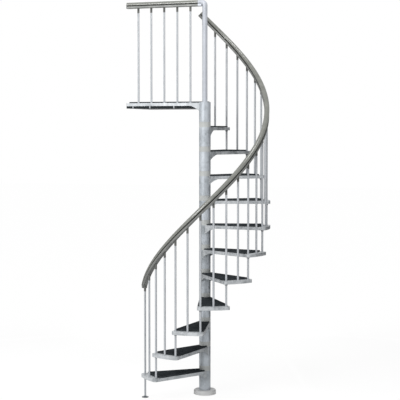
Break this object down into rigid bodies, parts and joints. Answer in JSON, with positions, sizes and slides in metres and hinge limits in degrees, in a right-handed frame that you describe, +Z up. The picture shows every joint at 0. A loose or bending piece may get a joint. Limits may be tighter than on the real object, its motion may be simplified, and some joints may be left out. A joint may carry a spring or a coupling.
{
  "type": "spiral staircase",
  "caption": "Galvanised steel spiral staircase with wedge treads round a central column, a grooved helical handrail on slim balusters, and a landing with its own railing.",
  "frame": {"origin": "centre of the base plate's underside, on the column's axis", "axes": "+Z up the column; the landing's rail runs out along -X; the landing lies on the +Y side of it, with wall sides facing -X and +Y"},
  "size_m": [1.422, 1.25, 3.769],
  "materials": {
    "galvanised": "dull hot-dip galvanised steel",
    "spacer": "duller galvanised steel, slightly green",
    "cover_plastic": "satin light grey moulding",
    "mat_rubber": "ribbed anti-slip rubber",
    "soffit_board": "matt black board",
    "handrail_plastic": "satin warm grey",
    "gasket_rubber": "black rubber strip",
    "rail_steel": "dull galvanised steel",
    "connector_plastic": "dark grey moulding"
  },
  "bodies": {
    "root": {"baluster_connectors": "connector_plastic", "baluster_nuts": "connector_plastic", "base_cover": "cover_plastic", "base_plate": "galvanised", "centre_pole": "galvanised", "column_cap": "galvanised", "column_sleeves": "galvanised", "floor_disc": "galvanised", "handrail_end_caps": "connector_plastic", "landing_balusters": "galvanised", "landing_bearers": "galvanised", "landing_frame": "galvanised", "landing_gussets": "galvanised", "landing_handrail": "handrail_plastic", "landing_mat": "mat_rubber", "landing_rail_bar": "rail_steel", "landing_rail_gasket": "gasket_rubber", "landing_soffit": "soffit_board", "long_balusters": "galvanised", "newel_post": "galvanised", "short_balusters": "galvanised", "spacer_rings": "spacer", "stair_handrail": "handrail_plastic", "stair_rail_bar": "rail_steel", "stair_rail_gasket": "gasket_rubber", "tread_frame_01": "galvanised", "tread_frame_02": "galvanised", "tread_frame_03": "galvanised", "tread_frame_04": "galvanised", "tread_frame_05": "galvanised", "tread_frame_06": "galvanised", "tread_frame_07": "galvanised", "tread_frame_08": "galvanised", "tread_frame_09": "galvanised", "tread_frame_10": "galvanised", "tread_frame_11": "galvanised", "tread_gussets": "galvanised", "tread_mat_01": "mat_rubber", "tread_mat_02": "mat_rubber", "tread_mat_03": "mat_rubber", "tread_mat_04": "mat_rubber", "tread_mat_05": "mat_rubber", "tread_mat_06": "mat_rubber", "tread_mat_07": "mat_rubber", "tread_mat_08": "mat_rubber", "tread_mat_09": "mat_rubber", "tread_mat_10": "mat_rubber", "tread_mat_11": "mat_rubber"}
  },
  "joints": []
}
